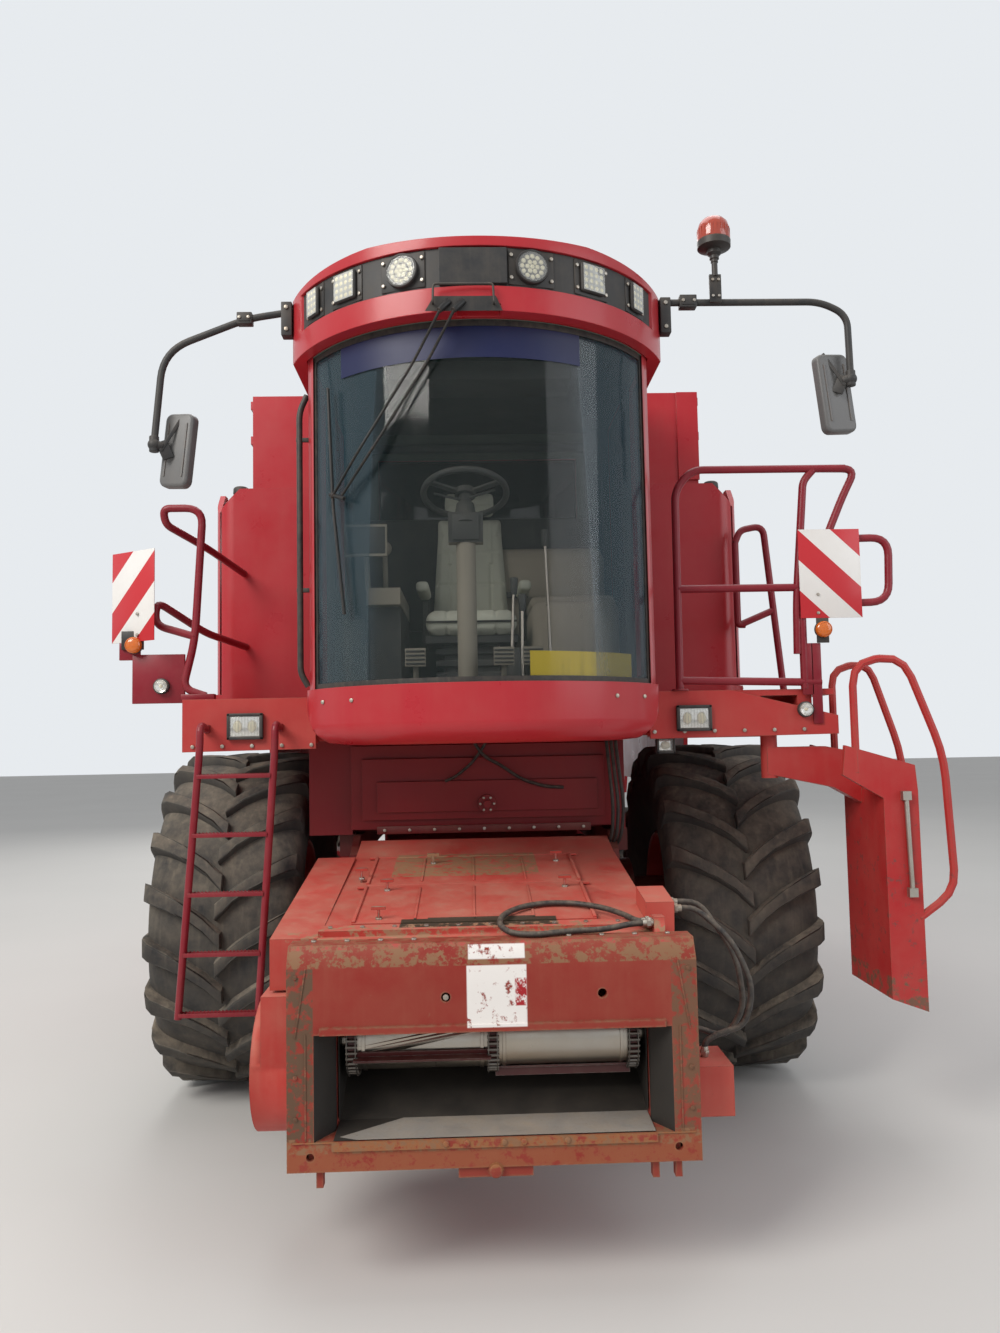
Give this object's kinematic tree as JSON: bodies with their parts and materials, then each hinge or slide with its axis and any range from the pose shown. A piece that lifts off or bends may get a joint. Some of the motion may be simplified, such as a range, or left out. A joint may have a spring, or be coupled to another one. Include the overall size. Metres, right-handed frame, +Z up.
{
  "type": "combine harvester",
  "caption": "Self-propelled combine harvester with feeder house, glass cab, grain tank, swinging unloading auger, steered rear wheels and straw chopper.",
  "frame": {"origin": "on the ground under the middle of the machine's outline", "axes": "+Z up, -Y towards the feeder at the front, +X towards the machine's left side"},
  "size_m": [3.9934, 8.7376, 4.3414],
  "materials": {
    "dark_frame": "worn dark red paint with dust",
    "red_paint": "semi-gloss red paint, sun-faded and dusty",
    "faded_red": "faded and scuffed red paint",
    "black_metal": "satin black",
    "black_plastic": "matt black",
    "steel": "polished by the crop, brown in the corners",
    "lamp_white": "clear lens over a white reflector",
    "glass": "tinted, dusty",
    "seat_fabric": "woven beige",
    "beacon_amber": "glossy amber-red lens",
    "board_white": "white sheet with red stripes",
    "tyre": "dusty black rubber"
  },
  "bodies": {
    "chassis": {"main_frame": "dark_frame", "front_axle": "dark_frame", "threshing_body": "red_paint", "grain_tank": "red_paint", "side_shield_left": "red_paint", "side_shield_right": "red_paint", "engine_hood": "red_paint", "engine_block": "black_metal", "exhaust_stack": "black_metal", "straw_hood": "red_paint", "straw_chopper": "red_paint", "rear_axle": "dark_frame", "elevators": "red_paint", "auger_riser": "red_paint", "fuel_tank": "black_plastic", "operator_deck": "red_paint", "deck_rail_left": "red_paint", "deck_rail_right": "red_paint", "service_ladder": "faded_red", "cab_shell": "red_paint", "cab_apron": "red_paint", "cab_roof": "red_paint", "lamp_band": "black_plastic", "lamps": "lamp_white", "cab_glass": "glass", "seat_base": "black_plastic", "seat_cushions": "seat_fabric", "cab_controls": "black_plastic", "wiper": "black_metal", "vent_tube": "black_plastic", "mirror_left": "black_metal", "mirror_right": "black_metal", "beacon": "beacon_amber", "warning_boards": "board_white"},
    "front_wheel_left": {"front_tyre_left": "tyre", "front_rim_left": "red_paint"},
    "front_wheel_right": {"front_tyre_right": "tyre", "front_rim_right": "red_paint"},
    "steering_knuckle_left": {"knuckle_left": "dark_frame"},
    "steering_knuckle_right": {"knuckle_right": "dark_frame"},
    "rear_wheel_left": {"rear_tyre_left": "tyre", "rear_rim_left": "red_paint"},
    "rear_wheel_right": {"rear_tyre_right": "tyre", "rear_rim_right": "red_paint"},
    "feeder": {"feeder_house": "red_paint", "feeder_face": "faded_red", "feeder_conveyor": "steel", "hose_upper": "black_plastic", "hose_lower": "black_plastic", "hose_top": "black_plastic"},
    "lift_barrel": {"lift_barrels": "steel"},
    "lift_rod": {"lift_rods": "steel"},
    "auger": {"unload_auger": "red_paint"},
    "operator_door": {"cab_door": "black_metal", "door_glass": "glass"},
    "ladder": {"boarding_ladder": "red_paint"},
    "air_screen": {"rotary_screen": "black_metal"},
    "side_door": {"side_door_left": "red_paint"},
    "rotor": {"chopper_rotor": "steel"}
  },
  "joints": [
    {"name": "front_wheel_left_spin", "type": "hinge", "parent": "chassis", "child": "front_wheel_left", "pos_m": [1.172, -1.89, 0.93], "axis": [1, 0, 0], "continuous": true},
    {"name": "front_wheel_right_spin", "type": "hinge", "parent": "chassis", "child": "front_wheel_right", "pos_m": [-1.528, -1.89, 0.93], "axis": [1, 0, 0], "continuous": true},
    {"name": "steer_left", "type": "hinge", "parent": "chassis", "child": "steering_knuckle_left", "pos_m": [0.802, 1.54, 0.66], "axis": [0, 0, 1], "range_deg": [-40, 40]},
    {"name": "steer_right", "type": "hinge", "parent": "chassis", "child": "steering_knuckle_right", "pos_m": [-1.158, 1.54, 0.66], "axis": [0, 0, 1], "range_deg": [-40, 40]},
    {"name": "rear_wheel_left_spin", "type": "hinge", "parent": "steering_knuckle_left", "child": "rear_wheel_left", "pos_m": [1.072, 1.54, 0.63], "axis": [1, 0, 0], "continuous": true},
    {"name": "rear_wheel_right_spin", "type": "hinge", "parent": "steering_knuckle_right", "child": "rear_wheel_right", "pos_m": [-1.428, 1.54, 0.63], "axis": [1, 0, 0], "continuous": true},
    {"name": "feeder_lift", "type": "hinge", "parent": "chassis", "child": "feeder", "pos_m": [-0.178, -2.66, 1.29], "axis": [-1, 0, 0], "range_deg": [-6, 25]},
    {"name": "lift_barrel_swing", "type": "hinge", "parent": "chassis", "child": "lift_barrel", "pos_m": [-0.178, -2.12, 0.7], "axis": [-1, 0, 0], "range_deg": [-3.7, 13.7]},
    {"name": "lift_rod_slide", "type": "slide", "parent": "lift_barrel", "child": "lift_rod", "axis": [0, -0.9948, 0.1018], "range_m": [-0.054, 0.212]},
    {"name": "auger_swing", "type": "hinge", "parent": "chassis", "child": "auger", "pos_m": [1.142, -1.69, 3.33], "axis": [0, 0, -1], "range_deg": [0, 100]},
    {"name": "cab_door_swing", "type": "hinge", "parent": "chassis", "child": "operator_door", "pos_m": [0.615, -2.4, 2.9], "axis": [0, 0, 1], "range_deg": [0, 75]},
    {"name": "boarding_ladder_swing", "type": "hinge", "parent": "chassis", "child": "ladder", "pos_m": [1.222, -3.04, 1.8], "axis": [0, 0, -1], "range_deg": [0, 90]},
    {"name": "air_screen_spin", "type": "hinge", "parent": "chassis", "child": "air_screen", "pos_m": [-1.678, 0.86, 2.66], "axis": [1, 0, 0], "continuous": true},
    {"name": "side_door_swing", "type": "hinge", "parent": "chassis", "child": "side_door", "pos_m": [1.326, -0.284, 2.2], "axis": [0, 0, -1], "range_deg": [0, 90]},
    {"name": "chopper_rotor_spin", "type": "hinge", "parent": "chassis", "child": "rotor", "pos_m": [-0.178, 3.25, 1.19], "axis": [1, 0, 0], "continuous": true}
  ],
  "couplings": [
    {"joint": "steer_right", "follows": "steer_left", "ratio": 1},
    {"joint": "lift_barrel_swing", "follows": "feeder_lift", "ratio": 0.5286},
    {"joint": "lift_rod_slide", "follows": "feeder_lift", "m_per_rad": 0.4775}
  ]
}
